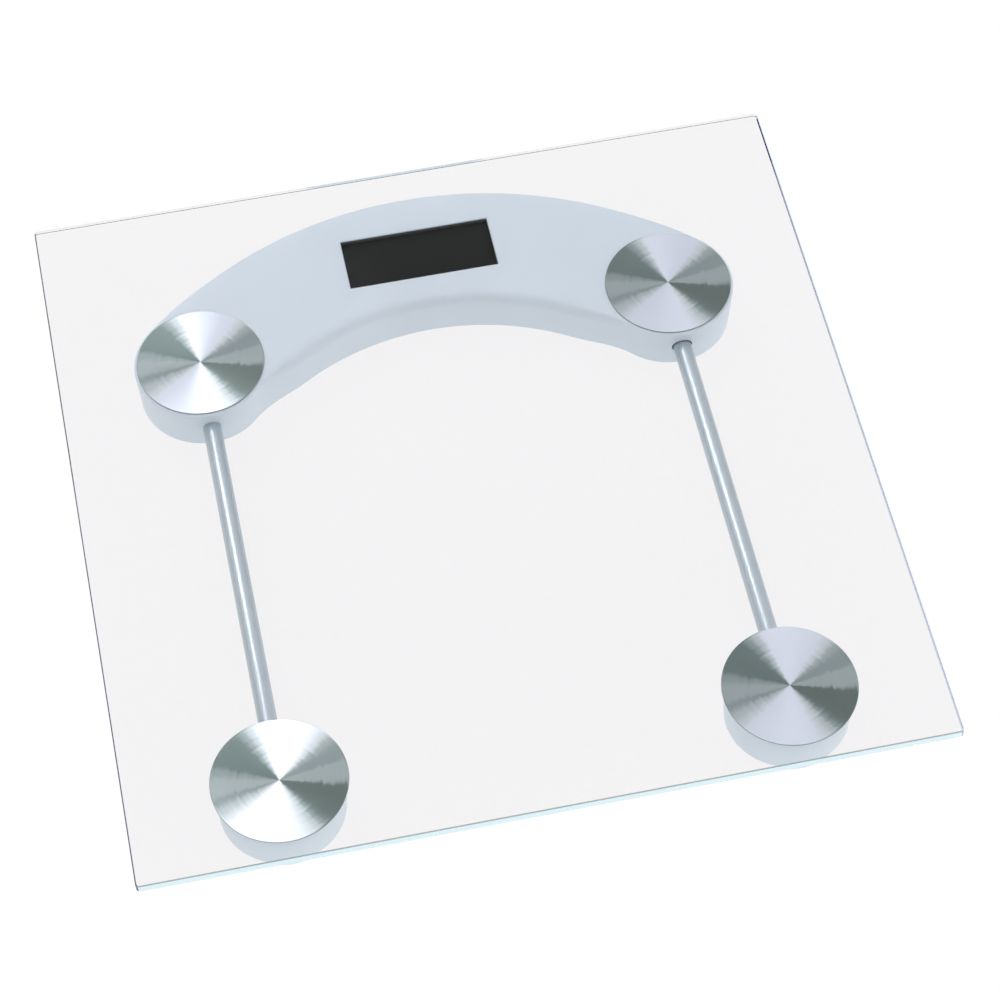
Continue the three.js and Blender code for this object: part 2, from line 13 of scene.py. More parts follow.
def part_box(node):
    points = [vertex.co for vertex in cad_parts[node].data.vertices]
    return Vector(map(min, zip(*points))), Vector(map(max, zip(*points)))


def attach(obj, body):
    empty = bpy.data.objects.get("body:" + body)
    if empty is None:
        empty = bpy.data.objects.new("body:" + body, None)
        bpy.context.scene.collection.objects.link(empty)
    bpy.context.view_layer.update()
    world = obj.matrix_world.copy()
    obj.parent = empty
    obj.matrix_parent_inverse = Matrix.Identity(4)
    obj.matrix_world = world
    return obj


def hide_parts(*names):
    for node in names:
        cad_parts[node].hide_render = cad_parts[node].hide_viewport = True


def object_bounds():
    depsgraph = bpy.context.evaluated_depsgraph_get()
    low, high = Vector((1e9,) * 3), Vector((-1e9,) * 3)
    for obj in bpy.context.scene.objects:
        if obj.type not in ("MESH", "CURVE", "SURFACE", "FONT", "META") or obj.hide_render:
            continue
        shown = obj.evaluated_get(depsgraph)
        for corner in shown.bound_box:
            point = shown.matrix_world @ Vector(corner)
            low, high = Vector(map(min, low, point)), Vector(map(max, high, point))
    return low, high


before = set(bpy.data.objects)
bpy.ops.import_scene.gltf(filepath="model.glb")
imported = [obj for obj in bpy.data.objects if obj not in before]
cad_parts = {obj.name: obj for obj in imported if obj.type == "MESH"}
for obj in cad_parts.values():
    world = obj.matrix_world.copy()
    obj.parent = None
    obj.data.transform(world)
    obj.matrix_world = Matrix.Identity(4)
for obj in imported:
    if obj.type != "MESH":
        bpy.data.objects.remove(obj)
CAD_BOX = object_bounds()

LOG = logging.getLogger("bathroom_scale")
MM = 0.001

Pair = tuple[float, float]
Colour = tuple[float, float, float]


# ------------------------------------------------------------------ named choices


class Body(Enum):
    """The rigid bodies that pieces ride on."""

    PLATFORM = "platform"
    DOOR = "door"
    BUTTON = "button"


class Slot(Enum):
    """The record's material slots, as a name kept on each rebuilt piece."""

    GLASS = "platform_glass"
    SPUN_STEEL = "spun_steel"
    SILVER = "silver_plastic"
    GREY = "grey_plastic"
    RUBBER = "black_rubber"
    CHROME = "tube_chrome"
    DISPLAY = "display_glass"
    BLACK = "black_plastic"
    ZINC = "plated_steel"


class Corner(Enum):
    """The four corners where the scale stands."""

    FRONT_LEFT = "front_left"
    FRONT_RIGHT = "front_right"
    REAR_LEFT = "rear_left"
    REAR_RIGHT = "rear_right"

    @property
    def is_front(self) -> bool:
        """True on the user's side."""
        return self.value.startswith("front")

    @property
    def foot_body(self) -> str:
        """Name of the body that this corner's foot moves with."""
        return f"foot_assembly_{self.value}"


class Side(Enum):
    """Left and right, by the sign of X."""

    LEFT = -1
    RIGHT = 1

    @property
    def word(self) -> str:
        """The side's name inside node names."""
        return self.name.lower()


# ------------------------------------------------------------------ meshes


class Shop:
    """Turns profiles and outlines in millimetres into meshes in metres."""

    @staticmethod
    def softened(profile: Sequence[Pair], radius: float, steps: int = 3) -> list[Pair]:
        """Rounds the inner corners of an open profile.

        Args:
            profile: points of the profile, in order.
            radius: how far from each corner the rounding starts.
            steps: points that replace one corner, less one.

        Returns:
            The profile with every corner between two edges rounded.
        """
        rounded = [profile[0]]
        for before, corner, after in zip(profile, profile[1:], profile[2:]):
            here = Vector(corner)
            back, ahead = Vector(before) - here, Vector(after) - here
            reach = min(radius, back.length * 0.45, ahead.length * 0.45)
            start, end = here + back.normalized() * reach, here + ahead.normalized() * reach
            for step in range(steps + 1):
                t = step / steps
                spot = start * (1 - t) ** 2 + here * (2 * t * (1 - t)) + end * t**2
                rounded.append((spot.x, spot.y))
        rounded.append(profile[-1])
        return rounded

    @staticmethod
    def revolve(profile: Sequence[Pair], segments: int = 96) -> bmesh.types.BMesh:
        """Turns a profile of (radius, height) pairs about Z.

        Args:
            profile: pairs from the axis at the bottom to the axis at the top.
            segments: facets in one turn.

        Returns:
            A closed mesh about the local Z axis.
        """
        bm = bmesh.new()
        rings = []
        for radius, height in profile:
            if radius < 1e-6:
                rings.append([bm.verts.new((0, 0, height * MM))])
                continue
            turn = 2 * math.pi / segments
            rings.append([
                bm.verts.new((
                    radius * MM * math.cos(turn * i), radius * MM * math.sin(turn * i), height * MM,
                ))
                for i in range(segments)
            ])
        for low, high in zip(rings, rings[1:]):
            for i in range(segments):
                j = (i + 1) % segments
                corners = [low[i % len(low)], low[j % len(low)], high[j % len(high)], high[i % len(high)]]
                face = list(dict.fromkeys(corners))
                if len(face) > 2:
                    bm.faces.new(face)
        return bm

    @staticmethod
    def loft(rings: Sequence[Sequence[tuple[float, float, float]]]) -> bmesh.types.BMesh:
        """Skins rings of points and closes both ends.

        Args:
            rings: rings of the same number of points, from the bottom up.

        Returns:
            A closed mesh.
        """
        bm = bmesh.new()
        made = [[bm.verts.new((x * MM, y * MM, z * MM)) for x, y, z in ring] for ring in rings]
        for low, high in zip(made, made[1:]):
            for i in range(len(low)):
                j = (i + 1) % len(low)
                bm.faces.new((low[i], low[j], high[j], high[i]))
        bm.faces.new(list(reversed(made[0])))
        bm.faces.new(made[-1])
        return bm

    @staticmethod
    def block(low: Sequence[float], high: Sequence[float], edge: float = 0.0) -> bmesh.types.BMesh:
        """A box between two corners, its edges rounded by edge millimetres.

        Args:
            low: the lowest corner in millimetres.
            high: the highest corner in millimetres.
            edge: width of the rounding, or 0 for sharp edges.

        Returns:
            A closed mesh.
        """
        bm = bmesh.new()
        bmesh.ops.create_cube(bm, size=1.0)
        for vert in bm.verts:
            vert.co = Vector(
                ((low[k] + high[k]) / 2 + vert.co[k] * (high[k] - low[k])) * MM for k in range(3)
            )
        if edge > 0:
            bmesh.ops.bevel(
                bm, geom=list(bm.edges), offset=edge * MM, segments=3, profile=0.5, affect="EDGES"
            )
        return bm

    @staticmethod
    def shifted(bm: bmesh.types.BMesh, x: float, y: float, z: float = 0.0) -> bmesh.types.BMesh:
        """Moves a mesh by millimetres."""
        bmesh.ops.translate(bm, verts=bm.verts, vec=Vector((x, y, z)) * MM)
        return bm

    @staticmethod
    def along_y(bm: bmesh.types.BMesh) -> bmesh.types.BMesh:
        """Turns a mesh so that its Z axis lies along Y."""
        bmesh.ops.rotate(bm, verts=bm.verts, cent=(0, 0, 0), matrix=Matrix.Rotation(-math.pi / 2, 3, "X"))
        return bm

    @staticmethod
    def joined(parts: Iterable[bmesh.types.BMesh]) -> bmesh.types.BMesh:
        """Puts several meshes into one."""
        whole = bmesh.new()
        for part in parts:
            carrier = bpy.data.meshes.new("carrier")
            part.to_mesh(carrier)
            part.free()
            whole.from_mesh(carrier)
            bpy.data.meshes.remove(carrier)
        return whole

    @staticmethod
    def carved(body: bmesh.types.BMesh, cutters: Iterable[bmesh.types.BMesh]) -> bmesh.types.BMesh:
        """Cuts solids out of a body.

        Args:
            body: the closed mesh that is cut.
            cutters: closed meshes of what is taken away.

        Returns:
            The body with the cutters taken away.
        """
        target = Shop.scratch(body)
        tools = [Shop.scratch(cutter) for cutter in cutters]
        for tool in tools:
            cut = target.modifiers.new("cut", "BOOLEAN")
            cut.operation = "DIFFERENCE"
            cut.solver = "EXACT"
            cut.object = tool
        graph = bpy.context.evaluated_depsgraph_get()
        mesh = bpy.data.meshes.new_from_object(target.evaluated_get(graph))
        result = bmesh.new()
        result.from_mesh(mesh)
        for leftover in [target, *tools]:
            bpy.data.objects.remove(leftover)
        return result

    @staticmethod
    def scratch(bm: bmesh.types.BMesh) -> bpy.types.Object:
        """A helper object that holds a mesh while it is cut."""
        bmesh.ops.recalc_face_normals(bm, faces=bm.faces)
        mesh = bpy.data.meshes.new("scratch")
        bm.to_mesh(mesh)
        bm.free()
        helper = bpy.data.objects.new("scratch", mesh)
        bpy.context.scene.collection.objects.link(helper)
        return helper


@dataclass
class Piece:
    """One visible piece: its mesh, its finish, its body and the CAD nodes it stands for."""

    name: str
    mesh: bmesh.types.BMesh
    materials: Sequence[bpy.types.Material]
    body: str
    slot: Slot
    stands_for: Sequence[str] = ()
    origin: tuple[float, float, float] = (0.0, 0.0, 0.0)
    sharp_angle: float = 35.0

    def place(self) -> bpy.types.Object:
        """Makes the Blender object and ties it to the frame.

        Returns:
            The object, in the scene's collection.
        """
        bmesh.ops.recalc_face_normals(self.mesh, faces=self.mesh.faces)
        data = bpy.data.meshes.new(self.name)
        self.mesh.to_mesh(data)
        self.mesh.free()
        data.shade_smooth()
        data.set_sharp_from_angle(angle=math.radians(self.sharp_angle))
        made = bpy.data.objects.new(self.name, data)
        made.location = Vector(self.origin) * MM
        for material in self.materials:
            data.materials.append(material)
        bpy.context.scene.collection.objects.link(made)
        bpy.context.view_layer.update()
        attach(made, self.body)
        if self.stands_for:
            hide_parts(*self.stands_for)
        LOG.info("made %s, %d faces, on %s", self.name, len(data.polygons), self.body)
        return made


# ------------------------------------------------------------------ finishes


class Paint:
    """A material built up from shader nodes round one Principled shader."""

    def __init__(self, name: str) -> None:
        """Starts an empty material.

        Args:
            name: name of the material.
        """
        self.material = bpy.data.materials.new(name)
        self.material.use_nodes = True
        self.tree = self.material.node_tree
        self.shader = self.tree.nodes["Principled BSDF"]
        self.output = self.tree.nodes["Material Output"]

    def node(self, kind: str, **settings: object) -> bpy.types.Node:
        """Adds a node and sets its properties."""
        made = self.tree.nodes.new(kind)
        for key, value in settings.items():
            setattr(made, key, value)
        return made

    def link(self, source: bpy.types.NodeSocket, target: bpy.types.NodeSocket) -> None:
        """Joins two sockets."""
        self.tree.links.new(source, target)

    def set(self, **values: object) -> None:
        """Sets the shader's sockets, with spaces written as underscores."""
        for key, value in values.items():
            self.shader.inputs[key.replace("_", " ")].default_value = value

    def place_of_surface(self, kind: str = "Object") -> bpy.types.NodeSocket:
        """The surface's own coordinates."""
        return self.node("ShaderNodeTexCoord").outputs[kind]

    def noise(
        self, scale: float, detail: float = 3.0, where: bpy.types.NodeSocket | None = None,
    ) -> bpy.types.NodeSocket:
        """A noise value between 0 and 1.

        Args:
            scale: lumps per metre.
            detail: octaves of finer noise.
            where: coordinates, or None for the piece's own.

        Returns:
            The noise's value socket.
        """
        made = self.node("ShaderNodeTexNoise")
        made.inputs["Scale"].default_value = scale
        made.inputs["Detail"].default_value = detail
        self.link(where or self.place_of_surface(), made.inputs["Vector"])
        return made.outputs["Fac"]

    def math(self, operation: str, *terms: object) -> bpy.types.NodeSocket:
        """One arithmetic step on sockets or numbers."""
        made = self.node("ShaderNodeMath", operation=operation)
        for place, term in zip(made.inputs, terms):
            if isinstance(term, bpy.types.NodeSocket):
                self.link(term, place)
            else:
                place.default_value = term
        return made.outputs[0]

    def spread(self, value: bpy.types.NodeSocket, low: float, high: float) -> bpy.types.NodeSocket:
        """Maps a value from 0..1 to low..high."""
        made = self.node("ShaderNodeMapRange")
        made.inputs["To Min"].default_value = low
        made.inputs["To Max"].default_value = high
        self.link(value, made.inputs["Value"])
        return made.outputs["Result"]

    def blend(self, factor: bpy.types.NodeSocket, first: Colour, second: Colour) -> bpy.types.NodeSocket:
        """A colour between two, by a factor.

        Args:
            factor: 0 gives the first colour and 1 the second.
            first: linear colour.
            second: linear colour.

        Returns:
            The mixed colour's socket.
        """
        made = self.node("ShaderNodeMix", data_type="RGBA")
        self.link(factor, made.inputs["Factor"])
        made.inputs["A"].default_value = (*first, 1)
        made.inputs["B"].default_value = (*second, 1)
        return made.outputs["Result"]

    def bump(self, height: bpy.types.NodeSocket, depth_mm: float, strength: float = 1.0) -> None:
        """Raises the surface by a height value.

        Args:
            height: value between 0 and 1.
            depth_mm: height in millimetres that a value of 1 stands for.
            strength: share of the effect that is kept.
        """
        made = self.node("ShaderNodeBump")
        made.inputs["Strength"].default_value = strength
        made.inputs["Distance"].default_value = depth_mm * MM
        self.link(height, made.inputs["Height"])
        self.link(made.outputs["Normal"], self.shader.inputs["Normal"])


def darker(colour: Colour, share: float) -> Colour:
    """The colour with its light cut to a share."""
    return tuple(channel * share for channel in colour)


@dataclass(frozen=True)
class MouldedPlastic:
    """Injection-moulded plastic with a fine grain."""

    name: str
    colour: Colour
    roughness: float = 0.42
    grain_per_metre: float = 2600.0
    grain_mm: float = 0.012
    unevenness: float = 0.04
    specular: float = 0.5

    def material(self) -> bpy.types.Material:
        """Mixes the plastic.

        Returns:
            The material, with a mottled colour, a grain and an uneven gloss.
        """
        paint = Paint(self.name)
        paint.set(Specular_IOR_Level=self.specular)
        cloud = paint.noise(35.0, 2.0)
        low, high = darker(self.colour, 1 - self.unevenness), darker(self.colour, 1 + self.unevenness)
        tone = paint.blend(cloud, low, high)
        paint.link(tone, paint.shader.inputs["Base Color"])
        grain = paint.noise(self.grain_per_metre, 2.0)
        gloss = paint.spread(grain, self.roughness - 0.05, self.roughness + 0.05)
        paint.link(gloss, paint.shader.inputs["Roughness"])
        paint.bump(grain, self.grain_mm, 0.4)
        return paint.material


@dataclass(frozen=True)
class FloatGlass:
    """Clear float glass. Lamps shine through it, so what lies under it is lit."""

    name: str = "clear_glass"
    tint: Colour = (0.893, 0.885, 0.895)
    refraction: float = 1.5
    mirror: float = 0.03

    def material(self) -> bpy.types.Material:
        """Mixes the glass.

        Returns:
            The material: a clear shader, swapped for a tinted gap where light from lamps passes.
        """
        paint = Paint(self.name)
        paint.set(
            Base_Color=(*self.tint, 1),
            Roughness=0.0,
            IOR=self.refraction,
            Transmission_Weight=1.0,
            Specular_Tint=(self.mirror, self.mirror, self.mirror, 1),
        )
        gap = paint.node("ShaderNodeBsdfTransparent")
        gap.inputs["Color"].default_value = (*darker(self.tint, 0.95), 1)
        chooser = paint.node("ShaderNodeMixShader")
        ray = paint.node("ShaderNodeLightPath")
        paint.link(ray.outputs["Is Shadow Ray"], chooser.inputs["Fac"])
        paint.link(paint.shader.outputs["BSDF"], chooser.inputs[1])
        paint.link(gap.outputs["BSDF"], chooser.inputs[2])
        paint.link(chooser.outputs["Shader"], paint.output.inputs["Surface"])
        return paint.material


@dataclass(frozen=True)
class PaintedEdgeLight:
    """Painted light and shade on an edge of the glass: a flat tint and a painted glow stand in for the light
    the edge shows.
    """

    name: str
    colour: Colour
    glow: float = 0.0
    roughness: float = 0.25
    clearness: float = 0.2
    unevenness: float = 0.05

    def material(self) -> bpy.types.Material:
        """Mixes the edge.

        Returns:
            The material: an uneven painted edge colour, also emitted as a painted glow in place of the light
                that the plate carries.
        """
        paint = Paint(self.name)
        grind = paint.noise(900.0, 2.0)
        low, high = darker(self.colour, 1 - self.unevenness), darker(self.colour, 1 + self.unevenness)
        tone = paint.blend(grind, low, high)
        paint.link(tone, paint.shader.inputs["Base Color"])
        # painted glow: the edge colour is emitted too, though the edge is no lamp
        paint.link(tone, paint.shader.inputs["Emission Color"])
        gloss = paint.spread(grind, self.roughness - 0.08, self.roughness + 0.08)
        paint.link(gloss, paint.shader.inputs["Roughness"])
        paint.set(Transmission_Weight=self.clearness, IOR=1.5, Emission_Strength=self.glow)
        return paint.material


class Tone(Enum):
    """Painted reflection tones: how light a wedge of the spun steel is painted, as linear colours."""

    BRIGHT = (0.64, 0.685, 0.75)
    CLEAR = (0.55, 0.60, 0.61)
    SOFT = (0.43, 0.485, 0.495)
    PALE = (0.345, 0.40, 0.395)
    GREY = (0.262, 0.317, 0.312)
    DARK = (0.155, 0.20, 0.19)
    DEEP = (0.137, 0.173, 0.16)


@dataclass(frozen=True)
class Wedge:
    """The painted reflection tone of the spun steel at one bearing round the disc, in degrees from +X."""

    bearing: float
    tone: Tone


@dataclass(frozen=True)
class SpunSteel:
    """Steel faced on a lathe: fine rings, and a painted reflection of light and dark wedges, fixed to the
    disc.
    """

    name: str = "spun_steel_painted_reflection"
    roughness: float = 0.34
    rings_per_metre: float = 2600.0
    streaks_per_metre: float = 700.0
    raggedness: float = 0.03
    painted_reflection_fan: tuple[Wedge, ...] = (
        Wedge(0, Tone.PALE),
        Wedge(6, Tone.PALE),
        Wedge(11, Tone.GREY),
        Wedge(22, Tone.GREY),
        Wedge(31, Tone.PALE),
        Wedge(39, Tone.CLEAR),
        Wedge(47, Tone.BRIGHT),
        Wedge(99, Tone.BRIGHT),
        Wedge(108, Tone.SOFT),
        Wedge(115, Tone.GREY),
        Wedge(123, Tone.DARK),
        Wedge(152, Tone.DARK),
        Wedge(160, Tone.GREY),
        Wedge(171, Tone.PALE),
        Wedge(182, Tone.PALE),
        Wedge(190, Tone.GREY),
        Wedge(201, Tone.SOFT),
        Wedge(209, Tone.CLEAR),
        Wedge(217, Tone.BRIGHT),
        Wedge(279, Tone.BRIGHT),
        Wedge(289, Tone.CLEAR),
        Wedge(296, Tone.SOFT),
        Wedge(301, Tone.GREY),
        Wedge(308, Tone.DARK),
        Wedge(314, Tone.DEEP),
        Wedge(340, Tone.DEEP),
        Wedge(349, Tone.PALE),
        Wedge(360, Tone.PALE),
    )

    def material(self) -> bpy.types.Material:
        """Mixes the steel.

        Returns:
            The material, whose rings and fan turn about the piece's own origin.
        """
        paint = Paint(self.name)
        where = paint.place_of_surface()
        split = paint.node("ShaderNodeSeparateXYZ")
        paint.link(where, split.inputs["Vector"])
        x, y = split.outputs["X"], split.outputs["Y"]
        bearing = paint.math("ARCTAN2", y, x)
        turn = paint.math("FRACT", paint.math("DIVIDE", bearing, 2 * math.pi))
        squares = paint.math("ADD", paint.math("MULTIPLY", x, x), paint.math("MULTIPLY", y, y))
        radius = paint.math("SQRT", squares)
        ring_seed = paint.node("ShaderNodeCombineXYZ")
        paint.link(paint.math("MULTIPLY", radius, self.rings_per_metre), ring_seed.inputs["X"])
        rings = paint.noise(1.0, 3.0, ring_seed.outputs["Vector"])
        streak_seed = paint.node("ShaderNodeCombineXYZ")
        paint.link(paint.math("MULTIPLY", radius, self.streaks_per_metre), streak_seed.inputs["X"])
        streaks = paint.noise(1.0, 5.0, streak_seed.outputs["Vector"])
        drift = paint.spread(streaks, -self.raggedness, self.raggedness)
        sway = paint.spread(paint.noise(160.0, 3.0), -0.008, 0.008)
        wandering = paint.math("ADD", turn, paint.math("ADD", drift, sway))
        # painted reflection: the light and dark wedges of a spun disc's highlight are painted into the base
        # colour by bearing round the disc, so they do not move with the view
        painted_reflection_fan = paint.node("ShaderNodeValToRGB")
        painted_reflection_fan.color_ramp.interpolation = "EASE"
        while len(painted_reflection_fan.color_ramp.elements) < len(self.painted_reflection_fan):
            painted_reflection_fan.color_ramp.elements.new(1.0)
        for stop, wedge in zip(painted_reflection_fan.color_ramp.elements, self.painted_reflection_fan):
            stop.position = wedge.bearing / 360
            stop.color = (*wedge.tone.value, 1)
        paint.link(wandering, painted_reflection_fan.inputs["Fac"])
        shade = paint.node("ShaderNodeMix", data_type="RGBA", blend_type="MULTIPLY")
        shade.inputs["Factor"].default_value = 1.0
        paint.link(painted_reflection_fan.outputs["Color"], shade.inputs["A"])
        paint.link(paint.blend(rings, (0.93, 0.93, 0.93), (1.06, 1.06, 1.06)), shade.inputs["B"])
        paint.link(shade.outputs["Result"], paint.shader.inputs["Base Color"])
        gloss = paint.spread(rings, self.roughness - 0.07, self.roughness + 0.07)
        paint.link(gloss, paint.shader.inputs["Roughness"])
        paint.set(Metallic=1.0, Anisotropic=0.6)
        paint.link(paint.node("ShaderNodeTangent", direction_type="RADIAL", axis="Z").outputs["Tangent"],
                   paint.shader.inputs["Tangent"])
        paint.bump(rings, 0.004, 0.3)
        return paint.material


@dataclass(frozen=True)
class Metal:
    """Plated, drawn or stamped metal with fine streaks or a mill finish."""

    name: str
    colour: Colour
    roughness: float
    streaks: tuple[float, float, float] = (600.0, 600.0, 600.0)
    unevenness: float = 0.06

    def material(self) -> bpy.types.Material:
        """Mixes the metal.

        Returns:
            The material, with streaks stretched by the ratio of its three scales.
        """
        paint = Paint(self.name)
        stretch = paint.node("ShaderNodeMapping")
        stretch.inputs["Scale"].default_value = self.streaks
        paint.link(paint.place_of_surface(), stretch.inputs["Vector"])
        streak = paint.noise(1.0, 3.0, stretch.outputs["Vector"])
        low, high = darker(self.colour, 1 - self.unevenness), darker(self.colour, 1 + self.unevenness)
        tone = paint.blend(streak, low, high)
        paint.link(tone, paint.shader.inputs["Base Color"])
        gloss = paint.spread(streak, self.roughness * 0.7, self.roughness * 1.3)
        paint.link(gloss, paint.shader.inputs["Roughness"])
        paint.set(Metallic=1.0)
        paint.bump(streak, 0.004, 0.15)
        return paint.material


@dataclass(frozen=True)
class DisplayDark:
    """The dark polarising film of a liquid-crystal display that is switched off."""

    name: str = "display_film"
    colour: Colour = (0.0065, 0.0075, 0.006)
    hint: Colour = (0.009, 0.011, 0.0085)

    def material(self) -> bpy.types.Material:
        """Mixes the film.

        Returns:
            The material, nearly black with a faint green cloud.
        """
        paint = Paint(self.name)
        cloud = paint.blend(paint.noise(28.0, 1.0), self.colour, self.hint)
        paint.link(cloud, paint.shader.inputs["Base Color"])
        paint.link(paint.spread(paint.noise(1800.0, 2.0), 0.3, 0.4), paint.shader.inputs["Roughness"])
        paint.set(Specular_IOR_Level=0.06)
        return paint.material


class Finishes:
    """Every finish of the scale, mixed once and shared by its pieces."""

    def __init__(self) -> None:
        """Mixes all the materials."""
        self.glass = FloatGlass().material()
        # painted light and painted shade on the glass edges: pale and blue bands with a painted glow on the
        # rim, and dark lines on the arrises
        self.front_rim_painted_light = PaintedEdgeLight("front_rim_painted_light", (0.75, 0.93, 0.98), 0.15).material()
        self.side_rim_painted_light = PaintedEdgeLight("side_rim_painted_light", (0.48, 0.58, 0.87), 0.1).material()
        self.front_arris_painted_shade = PaintedEdgeLight("front_arris_painted_shade", (0.35, 0.38, 0.38)).material()
        self.dark_arris_painted_shade = PaintedEdgeLight("dark_arris_painted_shade", (0.05, 0.06, 0.08)).material()
        self.steel_face = SpunSteel().material()
        # painted shade: the discs' edge steel is painted darker than steel, for a dark line round each disc
        self.steel_rim_painted_shade = Metal("disc_rim", (0.30, 0.33, 0.33), 0.35).material()
        self.silver = MouldedPlastic("silver_blue_plastic", (0.71, 0.80, 0.86)).material()
        # painted shade: the walls of the window's recess are painted dark; the shell is one silver plastic,
        # and the recess lies in shade
        self.window_wall_painted_shade = MouldedPlastic("window_wall_plastic", (0.075, 0.10, 0.095), 0.35).material()
        self.grey = MouldedPlastic("grey_plastic", (0.34, 0.37, 0.40), 0.55, grain_mm=0.03).material()
        self.black = MouldedPlastic("black_plastic", (0.022, 0.023, 0.025), 0.5).material()
        self.rubber = MouldedPlastic(
            "black_rubber", (0.018, 0.018, 0.019), 0.8, 1500.0, 0.05, 0.15, 0.3,
        ).material()
        self.wire = MouldedPlastic("wire_vinyl", (0.11, 0.12, 0.14), 0.45).material()
        self.board = MouldedPlastic("solder_mask", (0.02, 0.12, 0.05), 0.3, 500.0, 0.01, 0.2).material()
        self.chrome = Metal("tube_chrome", (0.52, 0.585, 0.62), 0.42, (2500.0, 60.0, 2500.0)).material()
        self.zinc = Metal("zinc_steel", (0.52, 0.54, 0.56), 0.36).material()
        self.contact = Metal("spring_strip", (0.62, 0.56, 0.38), 0.3).material()
        self.display = DisplayDark().material()


# ------------------------------------------------------------------ where things are


@dataclass
class Layout:
    """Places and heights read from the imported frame, in millimetres."""

    glass_low: Vector = field(default_factory=lambda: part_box("glass_platform")[0] / MM)
    glass_high: Vector = field(default_factory=lambda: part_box("glass_platform")[1] / MM)

    def centre(self, node: str) -> Vector:
        """Centre of a CAD node's box."""
        low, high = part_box(node)
        return (Vector(low) + Vector(high)) / 2 / MM

    def low(self, node: str) -> float:
        """Lowest height of a CAD node."""
        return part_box(node)[0][2] / MM

    def high(self, node: str) -> float:
        """Highest height of a CAD node."""
        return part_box(node)[1][2] / MM

    def corner(self, corner: Corner) -> Vector:
        """Centre of a corner pad."""
        return self.centre(f"disc_{corner.value}")


@dataclass(frozen=True)
class Level:
    """One level of a band's wall: its half width, its height and the inner edge's setback."""

    half: float
    height: float
    setback: float = 0.0


@dataclass
class Band:
    """The plan of the crescent: a band bent round an arc centre, with round ends.

    Past its ends it swells on the inner side and draws in on the outer side.
    """

    pad_x: float
    pad_y: float
    arc_centre_y: float = -17.8
    inner_swell: float = 3.4
    outer_swell: float = -1.3
    swell_run: float = 0.25
    arc_steps: int = 96
    end_steps: int = 40

    @property
    def radius(self) -> float:
        """Radius of the middle of the band."""
        return math.hypot(self.pad_x, self.pad_y - self.arc_centre_y)

    @property
    def end_angle(self) -> float:
        """Angle of the band's right end, from +X about the arc centre."""
        return math.atan2(self.pad_y - self.arc_centre_y, self.pad_x)

    def share(self, angle: float) -> float:
        """How much of the swell a place on the band gets, from 0 at its ends to 1."""
        run = (min(angle, math.pi - angle) - self.end_angle) / self.swell_run
        run = min(max(run, 0.0), 1.0)
        return run * run * (3 - 2 * run)

    def outline(self, level: Level) -> list[tuple[float, float, float]]:
        """The band's outline at a level.

        Args:
            level: half width, height and inner setback.

        Returns:
            Points anticlockwise from the right end of the outer arc.
        """
        first, last = self.end_angle, math.pi - self.end_angle
        sweep = last - first
        points = []
        for i in range(self.arc_steps + 1):
            angle = first + sweep * i / self.arc_steps
            reach = self.radius + level.half + self.share(angle) * self.outer_swell
            y = self.arc_centre_y + reach * math.sin(angle)
            points.append((reach * math.cos(angle), y, level.height))
        points += self.end(-self.pad_x, last, level)
        for i in range(self.arc_steps + 1):
            angle = last - sweep * i / self.arc_steps
            reach = self.radius - level.half - self.share(angle) * (self.inner_swell - level.setback)
            y = self.arc_centre_y + reach * math.sin(angle)
            points.append((reach * math.cos(angle), y, level.height))
        points += self.end(self.pad_x, first + math.pi, level)
        return points

    def end(self, x: float, start: float, level: Level) -> list[tuple[float, float, float]]:
        """The half circle round one end of the band.

        Args:
            x: place of the end's pad.
            start: angle where the half circle starts.
            level: half width and height.

        Returns:
            The points between the arcs, without the arcs' own ends.
        """
        angles = [start + math.pi * i / self.end_steps for i in range(1, self.end_steps)]
        return [
            (x + level.half * math.cos(a), self.pad_y + level.half * math.sin(a), level.height)
            for a in angles
        ]

    def solid(self, levels: Sequence[Level]) -> bmesh.types.BMesh:
        """A solid whose walls follow the levels from the bottom up."""
        return Shop.loft([self.outline(level) for level in levels])


# ------------------------------------------------------------------ sub-assemblies


